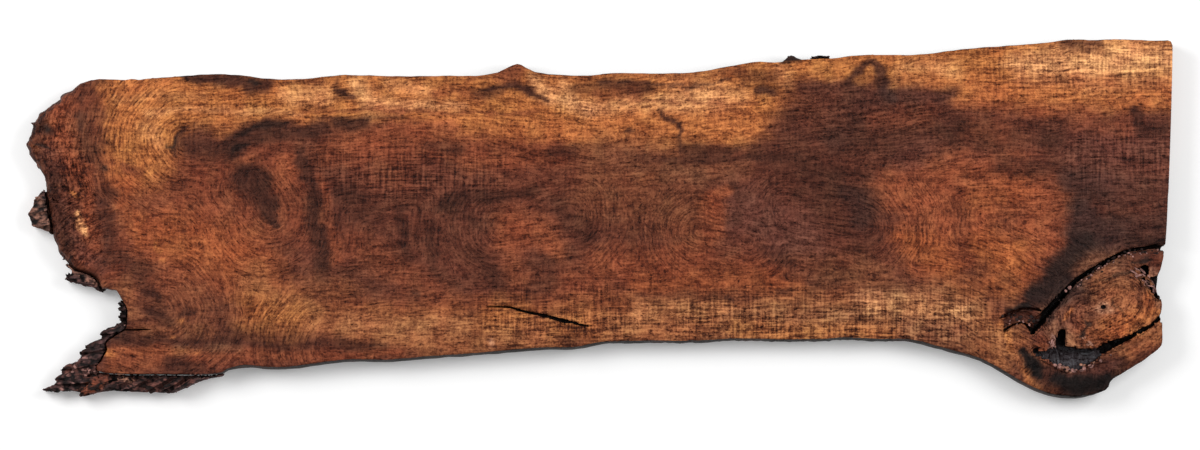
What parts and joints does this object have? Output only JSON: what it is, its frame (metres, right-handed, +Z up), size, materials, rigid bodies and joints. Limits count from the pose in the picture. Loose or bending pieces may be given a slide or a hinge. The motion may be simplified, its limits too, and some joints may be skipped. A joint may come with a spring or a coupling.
{
  "type": "live-edge walnut wood slab",
  "caption": "Flat live-edge walnut board lying on its underside, with one sawn end, a knot with a crevice and a pit at one corner, and bark left on its other end.",
  "frame": {"origin": "on the underside, at the middle of the board's overall length and width", "axes": "+X along the board towards its sawn end, +Y across it towards its straighter live edge, +Z up out of its face"},
  "size_m": [2.3033, 0.7231, 0.054],
  "materials": {
    "walnut": "satin, oiled and figured",
    "bark": "matt, rough"
  },
  "bodies": {
    "root": {"slab": "walnut", "bark_foot": "bark", "bark_tuft": "bark", "bark_shelf": "bark", "bark_chip": "bark"}
  },
  "joints": []
}
